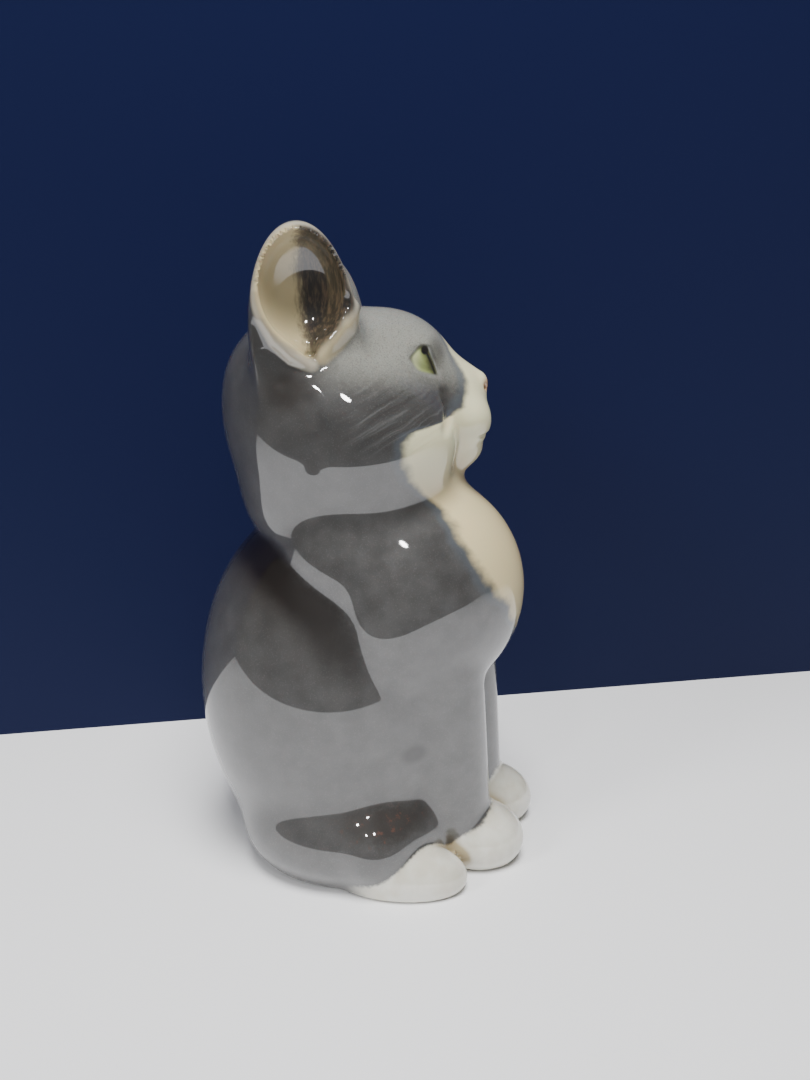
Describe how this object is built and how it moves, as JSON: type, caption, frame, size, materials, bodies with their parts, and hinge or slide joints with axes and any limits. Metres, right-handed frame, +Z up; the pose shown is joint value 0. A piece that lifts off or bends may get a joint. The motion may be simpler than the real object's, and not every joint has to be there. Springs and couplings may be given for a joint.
{
  "type": "seated cat figurine",
  "caption": "Seated porcelain cat figurine, hollow cast, head raised, with large upright ears, tail round one haunch and a flat foot ring.",
  "frame": {"origin": "centre of the bounding box's footprint, on the surface that the figurine stands on", "axes": "+X the way the cat faces, +Y the cat's left, +Z up"},
  "size_m": [0.1024, 0.0918, 0.1789],
  "materials": {
    "grey_glaze": "glazed porcelain, grey underglaze fur fading to cream, clear gloss glaze",
    "white_glaze": "glazed porcelain, cream white, clear gloss glaze",
    "bisque": "unglazed porcelain, matt"
  },
  "bodies": {
    "root": {"body_shell": "grey_glaze", "head_shell": "grey_glaze", "left_ear": "grey_glaze", "right_ear": "grey_glaze", "left_foreleg": "grey_glaze", "right_foreleg": "grey_glaze", "left_hind_paw": "white_glaze", "right_hind_paw": "white_glaze", "tail": "grey_glaze", "base_plate": "bisque"}
  },
  "joints": []
}
